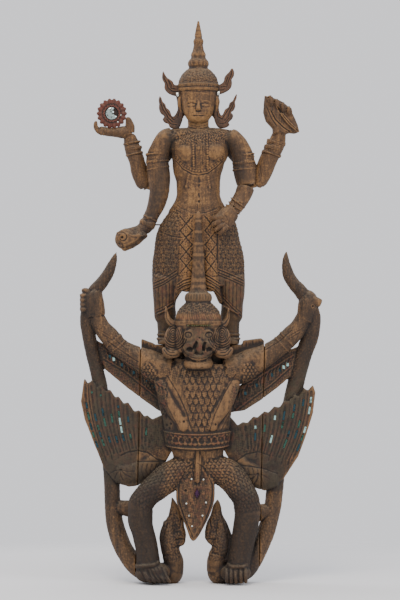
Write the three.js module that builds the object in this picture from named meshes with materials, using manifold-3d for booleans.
// A four-armed crowned deity standing on the shoulders of a garuda that grips two serpents.
// Carved and joined teak: a centre block, two outer boards, a standing figure and its fitted arms.
// +Z is up, -Y is the front, and the origin is on the floor under the middle of the figure.

import * as THREE from "three";
import { mergeVertices } from "three/addons/utils/BufferGeometryUtils.js";
import Module from "manifold-3d";

const wasm = await Module();
wasm.setup();

// Driving sizes, in millimetres
const FIGURE_HEIGHT = 1800;
const OPEN_JOINT = 2;
const FIT_GAP = 0.3;
const BOARD_THICKNESS = 30;
const WING_FRONT = -4;
const PLANK_FRONT = -10;
const PLANK_DEPTH = 74;
const DEITY_SETBACK = 18;
const DISCUS_THICKNESS = 12;
const MIRROR_THICKNESS = 3;
const MIRROR_RADIUS = 21;
const FLAME_THICKNESS = 15;
const CONCH_THICKNESS = 46;
const PEG_RADIUS = 2.4;
const PEG_LENGTH = 34;
const FEATHERS = 8;
const FEATHER_RIDGE = 4.5;
const TAIL_PANEL_DEPTH = 30;
const LIMB_SIDES = 6;
const TRUNK_SIDES = 10;
const CARVED_SIDES = 4;
const TURNED_SIDES = 10;

// The pose, outlines and carving are given in thousandths of the figure's height
const SHARE = FIGURE_HEIGHT / 1000;
const SETBACK = DEITY_SETBACK / SHARE;
const WING_FACE = WING_FRONT / SHARE;
const WING_BACK = (WING_FRONT + BOARD_THICKNESS) / SHARE;
const OUTSIZE = 3000;
const DEITY_SOLE = 424;
const POSED_SOLE = 424;
const ELBOW_CUT = 707;
const HEAD_PLANE = -34;
const FIST_FRONT = 23;
const HORN_HALF = 6;
const TONGUE_TOP = 420;
const TONGUE_FRONT = 0.7;
const CLAWS = 5;
const CLAW_PITCH = 8.4;
const LEFT_CLAW = -98;
const RIGHT_CLAW = 46;
const FINGERS = 4;

const GREY_TEAK = new THREE.MeshStandardMaterial({ color: 0x6e5440, roughness: 0.82, metalness: 0 });
const DARK_TEAK = new THREE.MeshStandardMaterial({ color: 0x54402f, roughness: 0.85, metalness: 0 });
const RED_LACQUER = new THREE.MeshStandardMaterial({ color: 0x74402c, roughness: 0.7, metalness: 0 });
const MIRROR_GLASS = new THREE.MeshStandardMaterial({ color: 0xbfe0d8, roughness: 0.12, metalness: 0.9 });

// Mesh and solid conversion

function meshSolid(positions, triangles) {
  let volume = 0;
  const at = (i) => new THREE.Vector3().fromArray(positions, 3 * i);
  for (let t = 0; t < triangles.length; t += 3) {
    const a = at(triangles[t]);
    volume += a.dot(at(triangles[t + 1]).cross(at(triangles[t + 2])));
  }
  const triVerts = new Uint32Array(triangles);
  if (volume < 0) {
    triVerts.reverse();
  }
  return new wasm.Manifold(
    new wasm.Mesh({ numProp: 3, vertProperties: new Float32Array(positions), triVerts }),
  );
}

function solid(geometry) {
  const bare = geometry.index ? geometry.toNonIndexed() : geometry;
  bare.deleteAttribute("normal");
  bare.deleteAttribute("uv");
  const merged = mergeVertices(bare, 1e-3);
  return meshSolid(Array.from(merged.attributes.position.array), Array.from(merged.index.array));
}

function join(pieces) {
  return pieces.reduce((whole, piece) => whole.add(piece));
}

// Shape makers: lengths and places are shares of the height

// A closed body through rings: each station is [across, up, back, half width, half depth]
function loft(stations, sides = LIMB_SIDES, plane = 0, grow = 0) {
  const positions = [];
  const triangles = [];
  const last = stations.length - 1;
  const reach = Math.cos(Math.PI / sides);
  const rise = sides % 4 ? 1 : reach;
  stations.forEach(([x, z, y, width, depth], row) => {
    const [x0, z0] = stations[Math.max(row - 1, 0)];
    const [x1, z1] = stations[Math.min(row + 1, last)];
    const run = Math.hypot(x1 - x0, z1 - z0) || 1;
    const across = [(z1 - z0) / run, -(x1 - x0) / run];
    for (let i = 0; i < sides; i++) {
      const angle = (2 * Math.PI * (i + 0.5)) / sides;
      const u = ((width + grow) * Math.cos(angle)) / reach;
      const v = ((depth + grow) * Math.sin(angle)) / rise;
      positions.push(SHARE * (x + u * across[0]), SHARE * (y + plane + v), SHARE * (z + u * across[1]));
    }
  });
  for (let row = 0; row < last; row++) {
    for (let i = 0; i < sides; i++) {
      const a = row * sides + i;
      const b = row * sides + ((i + 1) % sides);
      triangles.push(a, b, a + sides, b, b + sides, a + sides);
    }
  }
  for (const [row, flip] of [[0, true], [last, false]]) {
    const centre = positions.length / 3;
    const [x, z, y] = stations[row];
    positions.push(SHARE * x, SHARE * (y + plane), SHARE * z);
    for (let i = 0; i < sides; i++) {
      const a = row * sides + i;
      const b = row * sides + ((i + 1) % sides);
      triangles.push(...(flip ? [b, a, centre] : [a, b, centre]));
    }
  }
  return meshSolid(positions, triangles);
}

// A flat piece with an outline in the front view and square edges
function plate(outline, front, back) {
  const shape = new THREE.Shape(outline.map(([x, z]) => new THREE.Vector2(SHARE * x, SHARE * z)));
  const geometry = new THREE.ExtrudeGeometry(shape, { depth: SHARE * (back - front), bevelEnabled: false });
  geometry.rotateX(Math.PI / 2);
  geometry.translate(0, SHARE * back, 0);
  return solid(geometry);
}

// A turned form on an upright axis, squashed front to back
function turned(profile, x, y, squash = 1, grow = 0) {
  const bottom = profile[profile.length - 1][1] - grow;
  const top = profile[0][1] + 0.5 + grow;
  const wall = profile.map(([radius, z]) => [radius + grow, z]).reverse();
  const closed = [[0, bottom], ...wall, [0, top]];
  const points = closed.map(([radius, z]) => new THREE.Vector2(SHARE * radius, SHARE * z));
  const geometry = new THREE.LatheGeometry(points, TURNED_SIDES);
  geometry.rotateX(Math.PI / 2);
  geometry.scale(1, squash, 1);
  geometry.translate(SHARE * x, SHARE * y, 0);
  return solid(geometry);
}

function ball(x, z, y, halfWidth, halfHeight, halfDepth, columns = 6, rows = 4) {
  const geometry = new THREE.SphereGeometry(1, columns, rows);
  geometry.rotateX(Math.PI / 2);
  geometry.scale(SHARE * halfWidth, SHARE * halfDepth, SHARE * halfHeight);
  geometry.translate(SHARE * x, SHARE * y, SHARE * z);
  return solid(geometry);
}

// A raised band round a limb, from one point of its axis to another
function band(from, to, halfWidth, halfDepth, plane = 0, sides = LIMB_SIDES) {
  return loft([[...from, halfWidth, halfDepth], [...to, halfWidth, halfDepth]], sides, plane);
}

function block(x0, x1, y0, y1, z0, z1) {
  const geometry = new THREE.BoxGeometry(x1 - x0, y1 - y0, z1 - z0);
  geometry.translate((x0 + x1) / 2, (y0 + y1) / 2, (z0 + z1) / 2);
  return solid(geometry);
}

// The places below were set out for POSED_SOLE: the deity rises to DEITY_SOLE and the garuda grows under it
const DEITY_PLACE = new THREE.Matrix4().makeTranslation(0, 0, SHARE * (DEITY_SOLE - POSED_SOLE));
const GARUDA_GROWTH = DEITY_SOLE / POSED_SOLE;
const GARUDA_PLACE = new THREE.Matrix4().makeScale(GARUDA_GROWTH, GARUDA_GROWTH, GARUDA_GROWTH);

function named(name, body, material, place) {
  const data = body.getMesh();
  const geometry = new THREE.BufferGeometry();
  const corners = Array.from({ length: data.vertProperties.length / data.numProp }, (_, i) =>
    Array.from(data.vertProperties.slice(i * data.numProp, i * data.numProp + 3)),
  );
  geometry.setAttribute("position", new THREE.Float32BufferAttribute(corners.flat(), 3));
  geometry.setIndex(Array.from(data.triVerts));
  geometry.applyMatrix4(place);
  const mesh = new THREE.Mesh(geometry, material);
  mesh.name = name;
  return mesh;
}

// The standing deity

function deityCrown(grow) {
  const profile = [
    [0.8, 1000], [4.3, 979], [5.7, 972], [8.7, 963], [7.3, 956], [9.9, 947], [12.4, 939], [14.7, 930],
    [18.1, 926], [18.1, 921], [16.7, 917], [23.8, 908], [32.6, 896], [35.1, 888], [37, 886], [37, 878],
    [33, 874],
  ];
  return turned(profile, -4, SETBACK, 1, grow);
}

function deityHead(grow = 0) {
  const skull = [
    [-4, 880, 0, 33, 33], [-4, 867, -1, 32, 33], [-4, 855, -2, 30, 32], [-4, 842, -3, 28, 31],
    [-4, 832, -5, 24, 28], [-4, 823, -8, 18, 22], [-4, 816, -12, 9, 14],
  ];
  const nose = [[-4, 860, -32, 3, 4], [-4, 848, -35, 5, 6], [-4, 843, -32, 5, 5]];
  const lips = [[-13, 834, -30, 1, 2], [-4, 834, -33, 3, 3.5], [5, 834, -30, 1, 2]];
  const neck = [[-4, 828, 2, 19, 20], [-4, 798, 3, 23, 21]];
  return join([
    loft(skull, TRUNK_SIDES, SETBACK, grow),
    loft(nose, CARVED_SIDES, SETBACK, grow),
    loft(lips, CARVED_SIDES, SETBACK, grow),
    loft(neck, LIMB_SIDES, SETBACK, grow),
    deityCrown(grow),
  ]);
}

function deityTrunk(grow = 0) {
  const torso = [
    [-4, 809, 2, 24, 20], [-4, 805, 2, 36, 23], [-3, 797, 2, 46, 25], [-2, 785, 1, 51, 28],
    [-2, 770, -1, 51, 31], [-4, 752, -1, 47, 30], [-5, 734, 0, 44, 27], [-4, 713, 0, 39, 25],
    [-4, 686, -1, 39, 26], [-4, 672, -1, 47, 29], [-2, 660, 0, 60, 31], [-3, 644, 0, 66, 33],
    [-4, 628, 0, 71, 34], [-5, 606, 0, 76, 34], [-4, 564, 0, 82, 33], [-4, 526, 0, 81, 30],
  ];
  const collar = [[-4, 807, 1, 36, 26], [-3, 798, 0, 49, 29], [-2, 781, -2, 53, 33]];
  const sash = [
    [-47, 733, -14, 4, 12], [-25, 715, -20, 5, 12], [-4, 709, -22, 7, 9], [18, 715, -20, 5, 12],
    [39, 731, -14, 4, 12],
  ];
  const yoke = [
    [-73, 784, 1, 12, 15], [-57, 791, 1, 14, 19], [-36, 796, 1, 13, 22], [28, 796, 1, 13, 22],
    [50, 791, 1, 14, 19], [67, 783, 1, 12, 15],
  ];
  return join([
    loft(torso, TRUNK_SIDES, SETBACK, grow),
    loft(collar, TRUNK_SIDES, SETBACK, grow),
    loft(sash, CARVED_SIDES, SETBACK, grow),
    loft(yoke, LIMB_SIDES, SETBACK, grow),
  ]);
}

// The cloth below the waist: two raised panels, their arched border and the pleats of each leg
function deitySkirt() {
  const pieces = [];
  for (const [inner, outer] of [[-12, -40], [6, 31]]) {
    const middle = (inner + outer) / 2;
    const half = Math.abs(outer - inner) / 2;
    const panel = [[middle - half, 600, -26, 42, 10], [middle + half, 600, -26, 42, 10]];
    const border = [[middle, 546, -24, half, 11], [middle * 1.15, 513, -22, half * 0.9, 9]];
    pieces.push(loft(panel, CARVED_SIDES, SETBACK), loft(border, CARVED_SIDES, SETBACK));
  }
  for (const [side, knee, edge] of [[-1, -57, -60], [1, 50, 52]]) {
    const leg = [
      [knee, 534, 0, 29, 29], [knee, 509, 0, 28, 27], [edge, 493, 0, 23, 23],
      [edge + side * 3, 476, 0, 19, 19], [edge + side, 465, 0, 16.5, 17], [edge, 441, 0, 16.5, 16],
      [edge, POSED_SOLE, 0, 17, 16],
    ];
    const foot = [[edge, POSED_SOLE + 9, -3, 15, 16], [edge, POSED_SOLE, -3, 17, 17]];
    pieces.push(loft(leg, LIMB_SIDES, SETBACK), loft(foot, LIMB_SIDES, SETBACK));
    pieces.push(band([edge - side * 18, 494, 0], [edge + side * 14, 478, 0], 4, 24, SETBACK, CARVED_SIDES));
    pieces.push(band([edge, 441, 0], [edge, 432, 0], 19, 18, SETBACK));
    for (let pleat = -1; pleat <= 1; pleat++) {
      const x = knee + pleat * 14;
      const fold = [[x, 536, -24, 2.4, 5], [x + side * 2, 496, -21, 2, 4]];
      pieces.push(loft(fold, CARVED_SIDES, SETBACK));
    }
  }
  return join(pieces);
}

function deityFrontArms(grow = 0) {
  const left = [
    [-57, 795, 0, 17, 20], [-70, 775, 0, 18, 20], [-77, 752, 0, 20, 20], [-74, 725, -2, 20, 19],
    [-73, 702, -4, 18, 18], [-78, 676, -6, 16, 16], [-88, 652, -8, 13, 14], [-95, 637, -9, 13, 13],
    [-103, 626, -10, 11, 12],
  ];
  const fist = [
    [-103, 626], [-112, 628], [-119, 626], [-128, 629], [-136, 629], [-144, 626], [-150, 619], [-151, 611],
    [-147, 603], [-141, 595], [-137, 590], [-129, 591], [-111, 600], [-101, 609], [-94, 617],
  ];
  const right = [
    [53, 795, 0, 17, 20], [69, 773, 0, 18, 20], [76, 752, 0, 20, 20], [78, 729, -1, 19, 19],
    [81, ELBOW_CUT, -3, 16, 17],
  ];
  const pieces = [
    loft(left, LIMB_SIDES, SETBACK, grow),
    plate(fist, SETBACK - FIST_FRONT, SETBACK + 2),
    loft(right, LIMB_SIDES, SETBACK, grow),
    band([-78, 764, 0], [-75, 735, 0], 21, 21, SETBACK),
    band([76, 762, 0], [77, 733, 0], 21, 21, SETBACK),
    band([-90, 648, -9], [-97, 634, -9], 15, 15, SETBACK),
  ];
  for (let finger = 0; finger < FINGERS; finger++) {
    const knuckle = [-148 + 1.5 * finger, 619 - 6.3 * finger, -22, 3.6, 5];
    const tip = [-137 + 1.2 * finger, 619 - 6.2 * finger, -26, 3, 4];
    pieces.push(loft([knuckle, tip], CARVED_SIDES, SETBACK));
  }
  return join(pieces);
}

// The hidden halves of the raised arms, behind the front ones
function deityRearUpperArms() {
  const left = [
    [-45, 786, 10, 16, 15], [-73, 755, 14, 17, 15], [-86, 723, 18, 17, 14], [-92, 700, 20, 10, 12],
  ];
  const right = [
    [45, 786, 10, 16, 15], [74, 755, 14, 17, 15], [90, 727, 18, 17, 14], [97, 704, 20, 10, 12],
  ];
  return join([loft(left, LIMB_SIDES, SETBACK), loft(right, LIMB_SIDES, SETBACK)]);
}

function deityBody() {
  return join([deityHead(), deityTrunk(), deitySkirt(), deityFrontArms(), deityRearUpperArms()]);
}

function hipForearm(grow = 0) {
  const arm = [
    [82, ELBOW_CUT + grow, -4, 15, 16], [76, 690, -8, 15, 15], [66, 674, -14, 14, 14],
    [57, 661, -20, 12, 13],
  ];
  const hand = [
    [60, 664, -22, 12, 13], [48, 652, -32, 18, 11], [38, 640, -38, 19, 9], [30, 625, -40, 12, 7],
  ];
  const pieces = [
    loft(arm, LIMB_SIDES, SETBACK, grow),
    loft(hand, LIMB_SIDES, SETBACK, grow),
    band([66, 676, -14], [57, 664, -20], 16 + grow, 16 + grow, SETBACK),
  ];
  for (let finger = 0; finger < FINGERS; finger++) {
    const spread = finger * 7;
    const knuckle = [44 - spread * 0.5, 646 - spread * 0.9, -43, 4, 5];
    const tip = [28 + spread * 0.6, 640 - spread * 1.1, -42, 3, 5];
    pieces.push(loft([knuckle, tip], CARVED_SIDES, SETBACK, grow));
  }
  return join(pieces);
}

function discusForearm(grow = 0) {
  const arm = [
    [-95, 702 - grow, 18, 9, 11], [-102, 715, 18, 15, 14], [-109, 732, 16, 15, 14], [-114, 752, 14, 14, 14],
    [-120, 768, 12, 14, 13], [-124, 784, 10, 13, 12], [-127, 798, 8, 10, 10],
  ];
  const palm = [
    [-125, 798, 8, 11, 11], [-137, 803, 4, 12, 12], [-154, 803, 2, 9, 12], [-172, 804, 0, 8, 11],
    [-183, 810, 0, 6, 9],
  ];
  const thumb = [[-128, 798, 6, 10, 10], [-126, 812, 4, 9, 9], [-131, 826, 2, 5, 7]];
  const pieces = [
    loft(arm, LIMB_SIDES, SETBACK, grow),
    loft(palm, LIMB_SIDES, SETBACK, grow),
    loft(thumb, LIMB_SIDES, SETBACK, grow),
    band([-118, 764, 12], [-123, 785, 11], 16 + grow, 15 + grow, SETBACK),
  ];
  for (let finger = 0; finger < FINGERS; finger++) {
    const y = -8 + finger * 6;
    const curl = [[-176, 802 + finger, y, 5, 3.4], [-187, 812, y, 4, 3.2], [-184, 823 - finger, y, 3, 3]];
    pieces.push(loft(curl, CARVED_SIDES, SETBACK));
  }
  return join(pieces);
}

function conchForearm(grow = 0) {
  const arm = [
    [99, 706 - grow, 18, 9, 11], [105, 718, 18, 15, 14], [113, 734, 16, 16, 14], [120, 752, 14, 16, 14],
    [129, 770, 12, 16, 14], [136, 784, 10, 15, 13], [142, 799, 8, 12, 12],
  ];
  const hand = [
    [128, 797], [128, 810], [116, 823], [111, 837], [113, 858], [115, 871], [138, 863], [148, 857],
    [157, 849], [173, 816], [176, 802], [158, 797],
  ];
  const middle = SETBACK + 6;
  const half = CONCH_THICKNESS / SHARE / 2;
  const pieces = [
    loft(arm, LIMB_SIDES, SETBACK, grow),
    plate(hand, middle - half, middle + half),
    band([127, 764, 12], [136, 785, 11], 18 + grow, 16 + grow, SETBACK),
  ];
  for (let finger = 0; finger < FINGERS; finger++) {
    const shift = finger * 9;
    const knuckle = [117 + shift, 868 - shift * 0.45, middle - half, 5, 4];
    const tip = [140 + shift * 0.9, 820 - shift * 0.3, middle - half, 4, 4];
    pieces.push(loft([knuckle, tip], CARVED_SIDES));
  }
  return join(pieces);
}

// The discus is a serrated wheel with a round mirror let into its face
const DISCUS = { x: -158, z: 835, teeth: 18, outer: 27, root: 22 };
const DISCUS_FRONT = SETBACK - 8;

function discusOutline() {
  const points = [];
  for (let i = 0; i < 2 * DISCUS.teeth; i++) {
    const angle = (Math.PI * i) / DISCUS.teeth;
    const radius = i % 2 ? DISCUS.root : DISCUS.outer;
    points.push([DISCUS.x + radius * Math.cos(angle), DISCUS.z + radius * Math.sin(angle)]);
  }
  return points;
}

function roundPlate(radius, front, back, sides = 18) {
  const points = Array.from({ length: sides }, (_, i) => {
    const angle = (2 * Math.PI * i) / sides;
    return [DISCUS.x + radius * Math.cos(angle), DISCUS.z + radius * Math.sin(angle)];
  });
  return plate(points, front, back);
}

function discusBody() {
  const back = DISCUS_FRONT + DISCUS_THICKNESS / SHARE;
  const bed = (MIRROR_THICKNESS + FIT_GAP) / SHARE;
  const wheel = plate(discusOutline(), DISCUS_FRONT, back);
  const rim = roundPlate((MIRROR_RADIUS + 9) / SHARE, DISCUS_FRONT - 1.5, DISCUS_FRONT + 2);
  const pocket = roundPlate((MIRROR_RADIUS + FIT_GAP) / SHARE, DISCUS_FRONT - 3, DISCUS_FRONT + bed);
  return wheel.add(rim).subtract(pocket);
}

function discusMirror() {
  return roundPlate(MIRROR_RADIUS / SHARE, DISCUS_FRONT, DISCUS_FRONT + MIRROR_THICKNESS / SHARE);
}

// Flame ornaments sawn from thin board, one beside each ear
function earFlame(upper, lower) {
  const front = SETBACK - 8;
  const back = front + FLAME_THICKNESS / SHARE;
  const pieces = [plate(upper, front, back), plate(lower, front, back)];
  return join(pieces);
}

function leftFlame() {
  const upper = [
    [-66, 910], [-69, 901], [-66, 888], [-64, 878], [-58, 869], [-48, 866], [-36, 867], [-34, 887],
    [-48, 887], [-53, 895], [-61, 902],
  ];
  const lower = [
    [-73, 866], [-74, 859], [-73, 852], [-74, 843], [-71, 835], [-65, 832], [-67, 826], [-63, 819],
    [-57, 812], [-41, 807], [-33, 820], [-31, 832], [-33, 844], [-34, 872], [-44, 870], [-43, 852],
    [-43, 843],
    [-47, 833], [-51, 830], [-53, 838], [-61, 848], [-66, 858],
  ];
  return earFlame(upper, lower);
}

function rightFlame() {
  const upper = [
    [56, 916], [60, 907], [56, 896], [55, 882], [49, 874], [39, 870], [26, 869], [26, 889], [39, 890],
    [43, 899], [50, 909],
  ];
  const lower = [
    [64, 869], [61, 855], [61, 843], [55, 838], [58, 833], [55, 824], [48, 819], [53, 812], [34, 807],
    [24, 821], [23, 833], [25, 848], [26, 874], [35, 872], [33, 859], [34, 845], [38, 836], [41, 843],
    [50, 849], [60, 861],
  ];
  return earFlame(upper, lower);
}

function wristPeg(radius) {
  const start = -90 * SHARE;
  const geometry = new THREE.CylinderGeometry(radius, radius, PEG_LENGTH, 12);
  geometry.rotateZ(Math.PI / 2);
  geometry.translate(start + PEG_LENGTH / 2, SHARE * (SETBACK - 8), SHARE * 637);
  return solid(geometry);
}

// The garuda

function garudaHead() {
  const crown = [
    [1.4, 660], [4.6, 656], [5.3, 645], [6.6, 626], [7.8, 605], [10.3, 571], [12.1, 546], [15.2, 521],
    [17, 516], [23.6, 511], [23.6, 502], [21.6, 498], [32.5, 488], [39, 478], [40.8, 466], [42.6, 464],
    [42.6, 459], [36, 449],
  ];
  const skull = [
    [-4, 466, 2, 35, 28], [-4, 449, 0, 32, 28], [-4, 433, -2, 31, 29], [-4, 419, -2, 29, 28],
    [-4, 409, 0, 26, 26], [-4, 401, 2, 22, 22],
  ];
  const neck = [[-4, 404, 4, 21, 20], [-4, 391, 0, 26, 28], [-4, 381, 2, 18, 26]];
  const beak = [[-3, 442, -26, 4, 6], [-3, 430, -32, 6, 8], [-3, 418, -34, 7, 8], [-3, 409, -30, 4, 6]];
  const jaw = [[-20, 408, -18, 4, 8], [-3, 404, -26, 6, 8], [13, 408, -18, 4, 8]];
  const brow = [
    [-32, 441, -18, 3, 6], [-18, 449, -27, 4, 5], [-3, 448, -28, 4, 5], [11, 449, -27, 4, 5],
    [25, 441, -18, 3, 6],
  ];
  const pieces = [
    turned(crown, -4, HEAD_PLANE, 0.66),
    loft(skull, TRUNK_SIDES, HEAD_PLANE),
    loft(neck, TRUNK_SIDES, HEAD_PLANE),
    loft(beak, CARVED_SIDES, HEAD_PLANE),
    loft(jaw, CARVED_SIDES, HEAD_PLANE),
    loft(brow, CARVED_SIDES, HEAD_PLANE),
    ball(-20, 441, HEAD_PLANE - 23, 6, 5, 5, 5, 3),
    ball(13, 441, HEAD_PLANE - 23, 6, 5, 5, 5, 3),
  ];
  for (const [out, ear, tipX, tipZ] of [[-1, -50, -61, 494], [1, 39, 49, 490]]) {
    const horn = [
      [tipX, tipZ], [tipX + out * 2, tipZ - 12], [tipX + out, tipZ - 24], [tipX - out * 4, tipZ - 34],
      [tipX - out * 13, tipZ - 41], [tipX - out * 24, tipZ - 38], [tipX - out * 23, tipZ - 27],
      [tipX - out * 14, tipZ - 26], [tipX - out * 8, tipZ - 21], [tipX - out * 4, tipZ - 12],
    ];
    const curl = [
      [ear - out * 15, 414, 0, 5, 9], [ear - out * 6, 406, -1, 8, 10], [ear + out * 6, 405, -1, 8, 10],
      [ear + out * 14, 412, 0, 5, 7],
    ];
    const stem = [[ear - out * 11, 456, 4, 9, 15], [ear - out * 9, 418, 4, 9, 15]];
    pieces.push(plate(horn, HEAD_PLANE - HORN_HALF, HEAD_PLANE + HORN_HALF));
    pieces.push(ball(ear, 437, HEAD_PLANE + 5, 13, 20, 13));
    pieces.push(loft(curl, CARVED_SIDES, HEAD_PLANE), loft(stem, CARVED_SIDES, HEAD_PLANE));
  }
  const mouth = join([
    loft([[-19, 413, -28, 3, 7], [-10, 420, -30, 3, 7]], CARVED_SIDES, HEAD_PLANE),
    loft([[5, 420, -30, 3, 7], [14, 413, -28, 3, 7]], CARVED_SIDES, HEAD_PLANE),
  ]);
  return join(pieces).subtract(mouth);
}

function garudaTrunk() {
  const torso = [
    [-4, 399, -10, 30, 22], [-5, 385, -10, 60, 28], [-6, 367, -10, 74, 32], [-7, 344, -10, 72, 34],
    [-8, 317, -10, 66, 33], [-7, 298, -10, 61, 32], [-7, 273, -10, 57, 32], [-6, 255, -10, 55, 31],
    [-5, 243, -8, 48, 28], [-4, 223, -6, 43, 26], [-4, 206, -6, 35, 24],
  ];
  const straps = [[-72, -26], [60, 14]].map(([top, bottom]) => {
    const middle = (top + bottom) / 2;
    const strap = [[top, 368, -24, 13, 12], [middle, 315, -34, 13, 10], [bottom, 271, -37, 12, 6]];
    return loft(strap, CARVED_SIDES);
  });
  const belt = [[-6, 271, -10, 60, 37], [-6, 246, -9, 55, 35]];
  const beltRims = [[271, 61], [246, 57]].map(([z, half]) =>
    band([-6, z + 2, -10], [-6, z - 2, -10], half, 38, 0, TRUNK_SIDES));
  const plank = [
    [-127, 439], [-106, 434], [-84, 426], [-82, POSED_SOLE - FIT_GAP / SHARE],
    [74, POSED_SOLE - FIT_GAP / SHARE],
    [76, 431], [108, 435], [117, 427], [108, 387], [78, 371], [-90, 371], [-119, 394], [-127, 411],
  ];
  return join([
    loft(torso, TRUNK_SIDES),
    ...straps,
    loft(belt, TRUNK_SIDES),
    ...beltRims,
    plate(plank, PLANK_FRONT / SHARE, (PLANK_FRONT + PLANK_DEPTH) / SHARE),
  ]);
}

function tailPanel() {
  const outline = [
    [-25, 218], [-42, 177], [-43, 168], [-42, 144], [-29, 110], [-13, 77], [10, 110], [23, 144], [25, 168],
    [24, 177], [18, 218],
  ];
  const back = -14;
  const front = back - TAIL_PANEL_DEPTH / SHARE;
  const inset = outline.map(([x, z]) => [-9 + (x + 9) * 0.86, 150 + (z - 150) * 0.92]);
  const spine = [[-5, 240, front + 6, 6, 9], [-5, 215, front, 6, 5], [-6, 178, front, 5, 5]];
  return join([plate(outline, front + 2, back), plate(inset, front, back), loft(spine, CARVED_SIDES)]);
}

function garudaArm(stations) {
  const [wristA, wristB] = [stations[4], stations[5]];
  const bracelet = band([wristA[0], wristA[1], wristA[2]], [wristB[0], wristB[1], wristB[2]], 18, 18);
  return loft(stations).add(bracelet);
}

// The left hand is closed round the serpent, with its fingers rolled round the outer side
function leftArm() {
  const arm = [
    [-50, 376, -10, 28, 26], [-76, 382, -10, 27, 25], [-93, 391, -10, 25, 22], [-118, 403, -10, 20, 19],
    [-144, 419, -11, 17, 17], [-161, 438, -12, 17, 16], [-176, 456, -13, 15, 15], [-185, 474, -14, 14, 14],
  ];
  const hand = [
    [-184, 468, -14, 15, 14], [-187, 484, -15, 18, 16], [-192, 505, -16, 19, 17], [-196, 520, -14, 12, 11],
  ];
  const thumb = [[-196, 514, -22, 5, 7], [-204, 520, -21, 5, 7], [-211, 518, -15, 4, 6]];
  const pieces = [garudaArm(arm), loft(hand), loft(thumb, CARVED_SIDES)];
  for (let finger = 0; finger < FINGERS; finger++) {
    const z = 511 - 8.2 * finger;
    const roll = [[-202, z + 1, -25, 3.6, 5], [-209, z, -23, 3.8, 6], [-214, z - 1, -15, 3.8, 6]];
    pieces.push(loft(roll, CARVED_SIDES));
  }
  return join(pieces);
}

// The right hand has lost its fingers but for a stub
function rightArm() {
  const arm = [
    [42, 376, -10, 28, 26], [71, 382, -10, 27, 25], [89, 392, -10, 25, 22], [115, 405, -10, 20, 19],
    [142, 423, -11, 17, 17], [160, 440, -12, 17, 16], [174, 456, -13, 15, 15], [183, 473, -14, 14, 14],
  ];
  const hand = [
    [183, 462, -14, 14, 14], [186, 480, -15, 15, 15], [190, 496, -16, 17, 16], [197, 508, -15, 15, 15],
    [204, 513, -14, 9, 10],
  ];
  const stub = [[196, 505, -20, 9, 11], [206, 500, -20, 8, 10], [214, 497, -18, 6, 8]];
  return join([garudaArm(arm), loft(hand), loft(stub, CARVED_SIDES)]);
}

// Thigh and shin; grow fattens the limb to cut its seat in the outer board
function garudaLegs(grow = 0) {
  const left = [
    [-14, 212, -8, 24, 22], [-53, 191, -12, 26, 24], [-78, 172, -16, 24, 24], [-97, 155, -18, 22, 23],
    [-107, 137, -18, 22, 23], [-107, 115, -17, 22, 22], [-102, 92, -15, 20, 21], [-96, 66, -14, 20, 20],
    [-93, 40, -14, 21, 21], [-92, 24, -16, 22, 24],
  ];
  const right = [
    [6, 212, -8, 24, 22], [48, 194, -12, 26, 24], [69, 169, -16, 24, 24], [81, 147, -18, 23, 23],
    [83, 128, -18, 23, 23], [80, 105, -17, 22, 22], [75, 76, -15, 21, 21], [70, 51, -14, 20, 20],
    [67, 34, -14, 20, 21], [65, 22, -16, 21, 24],
  ];
  return join([loft(left, LIMB_SIDES, 0, grow), loft(right, LIMB_SIDES, 0, grow)]);
}

// Each foot is a mound on the coil under a rounded hem, with curved claws down its front
function garudaFeet() {
  const leftHem = [
    [-116, 32, -20, 4, 10], [-100, 33, -31, 4, 9], [-84, 35, -32, 4, 9], [-72, 40, -22, 4, 10],
  ];
  const rightHem = [[46, 36, -20, 4, 10], [57, 32, -32, 4, 9], [72, 32, -32, 4, 9], [84, 37, -20, 4, 10]];
  const pieces = [
    loft(leftHem, CARVED_SIDES),
    loft(rightHem, CARVED_SIDES),
    ball(-80, 22, -20, 26, 17, 22, 8, 4),
    ball(-96, 18, -16, 20, 15, 22, 8, 4),
    ball(62, 20, -19, 27, 17, 23, 8, 4),
  ];
  for (let claw = 0; claw < CLAWS; claw++) {
    const left = LEFT_CLAW + claw * CLAW_PITCH;
    const right = RIGHT_CLAW + claw * CLAW_PITCH;
    const rise = 2.2 * Math.abs(claw - 2) - 1;
    const slanted = [
      [left - 3, 28 + claw, -30, 3, 5], [left + 3, 16, -38, 3.6, 6], [left + 10, rise, -36, 2.6, 5],
    ];
    const upright = [[right, 30, -33, 3.4, 5], [right, 17, -40, 3.8, 6], [right, -1, -39, 2.8, 5]];
    pieces.push(loft(slanted, CARVED_SIDES), loft(upright, CARVED_SIDES));
  }
  return join(pieces);
}

// Long feathers fan from the covert near the thigh to the notched upper edge
function wing(outline, roots, tips) {
  const pieces = [plate(outline, WING_FACE, WING_BACK)];
  const ridge = FEATHER_RIDGE / SHARE;
  const [start, end] = roots;
  tips.forEach(([x, z], i) => {
    const t = i / (FEATHERS - 1);
    const root = [start[0] + (end[0] - start[0]) * t, start[1] + (end[1] - start[1]) * t];
    const bow = Math.sign(x) * 14 * (1 - t);
    const middle = [(root[0] + x) / 2 + bow, (root[1] + z) / 2];
    const quill = [
      [...root, WING_FACE, 3, ridge], [...middle, WING_FACE, 4, ridge], [x, z - 6, WING_FACE, 3.5, ridge],
    ];
    pieces.push(loft(quill, CARVED_SIDES));
  });
  return join(pieces);
}

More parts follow.
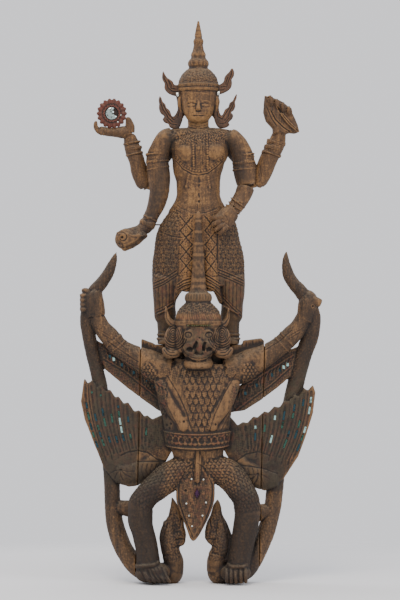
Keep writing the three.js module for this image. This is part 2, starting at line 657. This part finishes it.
function leftWing() {
  const outline = [
    [-207, 364], [-213, 323], [-206, 291], [-192, 255], [-173, 207], [-155, 184], [-142, 176], [-128, 171],
    [-112, 173], [-94, 185], [-62, 215], [-40, 255], [-55, 305], [-86, 291], [-95, 298], [-100, 296],
    [-109, 307], [-118, 305], [-129, 321], [-137, 319], [-146, 332], [-152, 330], [-161, 344],
    [-168, 340], [-177, 352],
    [-184, 348], [-193, 360], [-201, 355],
  ];
  const tips = [
    [-207, 350], [-194, 350], [-178, 345], [-162, 338], [-147, 326], [-130, 315], [-111, 301], [-96, 292],
  ];
  const lobe = [[-156, 200, 4, 12, 8], [-134, 194, 3, 18, 9], [-104, 202, 3, 18, 9], [-74, 226, 4, 13, 8]];
  return join([wing(outline, [[-176, 226], [-98, 246]], tips), loft(lobe, CARVED_SIDES)]);
}

function rightWing() {
  const outline = [
    [200, 352], [204, 339], [200, 303], [187, 261], [174, 226], [148, 186], [129, 171], [114, 164],
    [92, 171], [79, 184], [54, 213], [32, 255], [45, 305], [66, 280], [75, 286], [83, 284], [94, 296],
    [101, 294], [113, 305],
    [121, 303], [131, 314], [140, 312], [149, 324], [157, 323], [167, 335], [174, 332], [184, 346],
    [191, 342],
  ];
  const tips = [[198, 338], [184, 336], [168, 328], [150, 318], [133, 308], [115, 299], [97, 290], [79, 280]];
  const lobe = [[140, 192, 4, 12, 8], [116, 186, 3, 18, 9], [88, 198, 3, 18, 9], [64, 224, 4, 13, 8]];
  return join([wing(outline, [[163, 218], [84, 240]], tips), loft(lobe, CARVED_SIDES)]);
}

// The painted bands of short feathers that hang under the arms
function armBands() {
  const left = [
    [-186, 432], [-149, 413], [-110, 378], [-66, 348], [-60, 301], [-75, 307], [-105, 328],
    [-140, 355], [-171, 381],
  ];
  const right = [
    [172, 420], [147, 410], [115, 385], [66, 348], [52, 303], [78, 307], [108, 326], [137, 348], [160, 368],
  ];
  const pieces = [plate(left, WING_FACE, WING_BACK), plate(right, WING_FACE, WING_BACK)];
  for (const [side, inner, outer] of [[-1, [-72, 316], [-168, 388]], [1, [68, 314], [160, 376]]]) {
    for (const lift of [5, 22]) {
      const raise = (p, t) => [p[0] + side * 2, p[1] + lift + t * 4, WING_FACE, 2.4, 3];
      pieces.push(loft([raise(inner, 0), raise(outer, 1)], CARVED_SIDES));
    }
  }
  return join(pieces);
}

// Each serpent runs from the tail tip above the fist, behind the wing, round under the foot
function leftSerpent() {
  const body = [
    [-149, 589, -14, 1, 1], [-154, 574, -14, 6, 6], [-164, 550, -14, 10, 10], [-175, 534, -13, 11, 11],
    [-187, 520, -12, 12, 12], [-197, 498, -12, 13, 13], [-201, 468, -8, 13, 13], [-196, 427, -2, 12, 13],
    [-187, 387, 6, 12, 13], [-180, 355, 12, 13, 13], [-172, 291, 18, 14, 13], [-163, 229, 18, 14, 13],
    [-158, 172, 17, 14, 14], [-157, 137, 15, 14, 15], [-154, 112, 13, 15, 16], [-147, 85, 11, 16, 18],
    [-136, 59, 10, 16, 21], [-120, 36, 10, 17, 24], [-101, 22, 10, 18, 27], [-80, 16, 10, 18, 28],
    [-58, 18, 8, 19, 27],
  ];
  const neck = [[-49, 17, 8, 18, 26], [-48, 36, 3, 18, 22], [-53, 54, -2, 16, 18]];
  const link = [[-151, 135, 12, 12, 12], [-118, 131, 4, 16, 12]];
  return join([loft(body), loft(neck), ball(-51, 19, 8, 20, 22, 27), loft(link, CARVED_SIDES)]);
}

function rightSerpent() {
  const body = [
    [152, 590, -14, 1, 1], [151, 574, -14, 6, 6], [155, 550, -14, 10, 10], [165, 532, -13, 11, 11],
    [178, 518, -12, 12, 12], [191, 498, -12, 13, 13], [199, 472, -8, 14, 13], [196, 445, -4, 15, 13],
    [183, 406, 4, 15, 13], [172, 365, 12, 15, 13], [162, 321, 17, 15, 13], [151, 264, 18, 15, 13],
    [137, 211, 17, 15, 14], [132, 163, 17, 15, 14], [129, 138, 15, 15, 15], [124, 115, 13, 15, 16],
    [116, 90, 11, 16, 18], [106, 66, 10, 16, 21], [92, 40, 10, 17, 24], [78, 23, 10, 18, 27],
    [60, 16, 10, 18, 28], [38, 18, 8, 19, 27],
  ];
  const neck = [[29, 17, 8, 18, 26], [29, 36, 3, 18, 22], [32, 54, -2, 16, 18]];
  const link = [[126, 128, 12, 13, 12], [98, 124, 4, 16, 12]];
  return join([loft(body), loft(neck), ball(32, 19, 8, 20, 22, 27), loft(link, CARVED_SIDES)]);
}

// Serpent heads rise inside each foot with a tall crest and a blunt snout to the middle
function serpentHeads() {
  const left = [
    [-51, 153], [-54, 123], [-60, 113], [-66, 111], [-72, 93], [-74, 78], [-69, 50], [-62, 36], [-36, 36],
    [-35, 55], [-39, 64], [-27, 74], [-26, 91], [-30, 100], [-36, 108], [-37, 131], [-45, 148],
  ];
  const right = [
    [30, 149], [21, 134], [17, 121], [14, 106], [9, 98], [8, 80], [21, 66], [15, 53], [14, 36], [44, 36],
    [51, 50], [59, 76], [52, 93], [46, 109], [38, 123], [34, 144],
  ];
  const heads = [plate(left, -14, 12), plate(right, -14, 12)];
  for (const [x, side] of [[-52, 1], [34, -1]]) {
    const crest = [
      [x, 52, -4, 16, 15], [x - side * 3, 72, -4, 17, 17], [x - side * 3, 92, -4, 12, 14],
      [x, 118, -2, 6, 10], [x + side, 146, 0, 2, 6],
    ];
    const snout = [
      [x - side * 6, 84, -4, 9, 14], [x + side * 10, 86, -4, 9, 12], [x + side * 22, 84, -4, 6, 9],
    ];
    heads.push(loft(crest), loft(snout, CARVED_SIDES));
  }
  return join(heads);
}

// Glued joints between the centre block and the outer boards lean a little, as the boards do
const JOINTS = { left: { top: [-106, 424], low: [-115, 37] }, right: { top: [113, 415], low: [104, 37] } };

function centreSlab(shrink) {
  const edge = ({ top, low }, z) => top[0] + ((z - top[1]) * (top[0] - low[0])) / (top[1] - low[1]);
  const narrow = (OPEN_JOINT * shrink) / 2 / SHARE;
  const [bottom, high] = [-20, 700];
  const outline = [
    [edge(JOINTS.left, bottom) + narrow, bottom],
    [edge(JOINTS.right, bottom) - narrow, bottom],
    [edge(JOINTS.right, high) - narrow, high],
    [edge(JOINTS.left, high) + narrow, high],
  ];
  return plate(outline, -300, 300);
}

const aboveFloor = block(-OUTSIZE, OUTSIZE, -OUTSIZE, OUTSIZE, 0, OUTSIZE);

// Solids of the whole object

const CLEAR = FIT_GAP / SHARE;
const peg = wristPeg(PEG_RADIUS);
const headSeat = join([deityHead(CLEAR), deityTrunk(CLEAR), deityFrontArms(CLEAR)]);
const flames = [leftFlame(), rightFlame()].map((flame) => flame.subtract(headSeat));
const discusSeat = roundPlate(
  DISCUS.outer + CLEAR, DISCUS_FRONT - CLEAR, DISCUS_FRONT + DISCUS_THICKNESS / SHARE + CLEAR,
);
const seats = [wristPeg(PEG_RADIUS + FIT_GAP), discusForearm(CLEAR), conchForearm(CLEAR), hipForearm(CLEAR)];
const body = seats.reduce((whole, seat) => whole.subtract(seat), deityBody());

const wings = join([leftWing(), rightWing(), armBands()]);
const boards = join([wings, leftArm(), rightArm(), leftSerpent(), rightSerpent()]);
const legs = join([garudaLegs(), garudaFeet(), serpentHeads(), tailPanel()]);
const middle = join([garudaHead(), garudaTrunk()]);
const uncut = join([boards, middle]).intersect(aboveFloor);
// Tongues on the centre block reach across the rear half of the open joints, but for their top end
const behind = block(-OUTSIZE, OUTSIZE, TONGUE_FRONT * SHARE, OUTSIZE, 0, TONGUE_TOP * SHARE);
const tongued = centreSlab(1).add(centreSlab((2 * FIT_GAP) / OPEN_JOINT - 1).intersect(behind));
const centre = uncut.intersect(tongued).add(legs.intersect(aboveFloor));
const outer = uncut
  .subtract(centreSlab(-1))
  .subtract(garudaLegs(OPEN_JOINT / SHARE))
  .subtract(join([garudaFeet(), serpentHeads()]));
const leftSide = outer.intersect(block(-OUTSIZE, -FIT_GAP, -OUTSIZE, OUTSIZE, -1, OUTSIZE));
const rightSide = outer.intersect(block(FIT_GAP, OUTSIZE, -OUTSIZE, OUTSIZE, -1, OUTSIZE));

function largest(whole) {
  const parts = whole.decompose();
  return parts.reduce((best, part) => (part.volume() > best.volume() ? part : best));
}

const forearms = [discusForearm().subtract(discusSeat), conchForearm(), hipForearm()];
const wheel = discusBody();

export const group = new THREE.Group();
group.add(named("deity_body", largest(body), GREY_TEAK, DEITY_PLACE));
group.add(named("ear_flame_left", largest(flames[0]), DARK_TEAK, DEITY_PLACE));
group.add(named("ear_flame_right", largest(flames[1]), DARK_TEAK, DEITY_PLACE));
group.add(named("discus_forearm", largest(forearms[0]), GREY_TEAK, DEITY_PLACE));
group.add(named("conch_forearm", forearms[1], GREY_TEAK, DEITY_PLACE));
group.add(named("hip_forearm", forearms[2], GREY_TEAK, DEITY_PLACE));
group.add(named("discus", wheel, RED_LACQUER, DEITY_PLACE));
group.add(named("discus_mirror", discusMirror(), MIRROR_GLASS, DEITY_PLACE));
group.add(named("wrist_peg", peg, DARK_TEAK, DEITY_PLACE));
group.add(named("garuda_centre", largest(centre), GREY_TEAK, GARUDA_PLACE));
group.add(named("garuda_side_left", largest(leftSide), GREY_TEAK, GARUDA_PLACE));
group.add(named("garuda_side_right", largest(rightSide), GREY_TEAK, GARUDA_PLACE));

// The frame's origin is at the middle of the underside of the whole figure
group.updateMatrixWorld(true);
const bounds = new THREE.Box3().setFromObject(group);
const middleOf = bounds.getCenter(new THREE.Vector3());
group.position.set(-middleOf.x, -middleOf.y, -bounds.min.z);
group.updateMatrixWorld(true);

export default group;
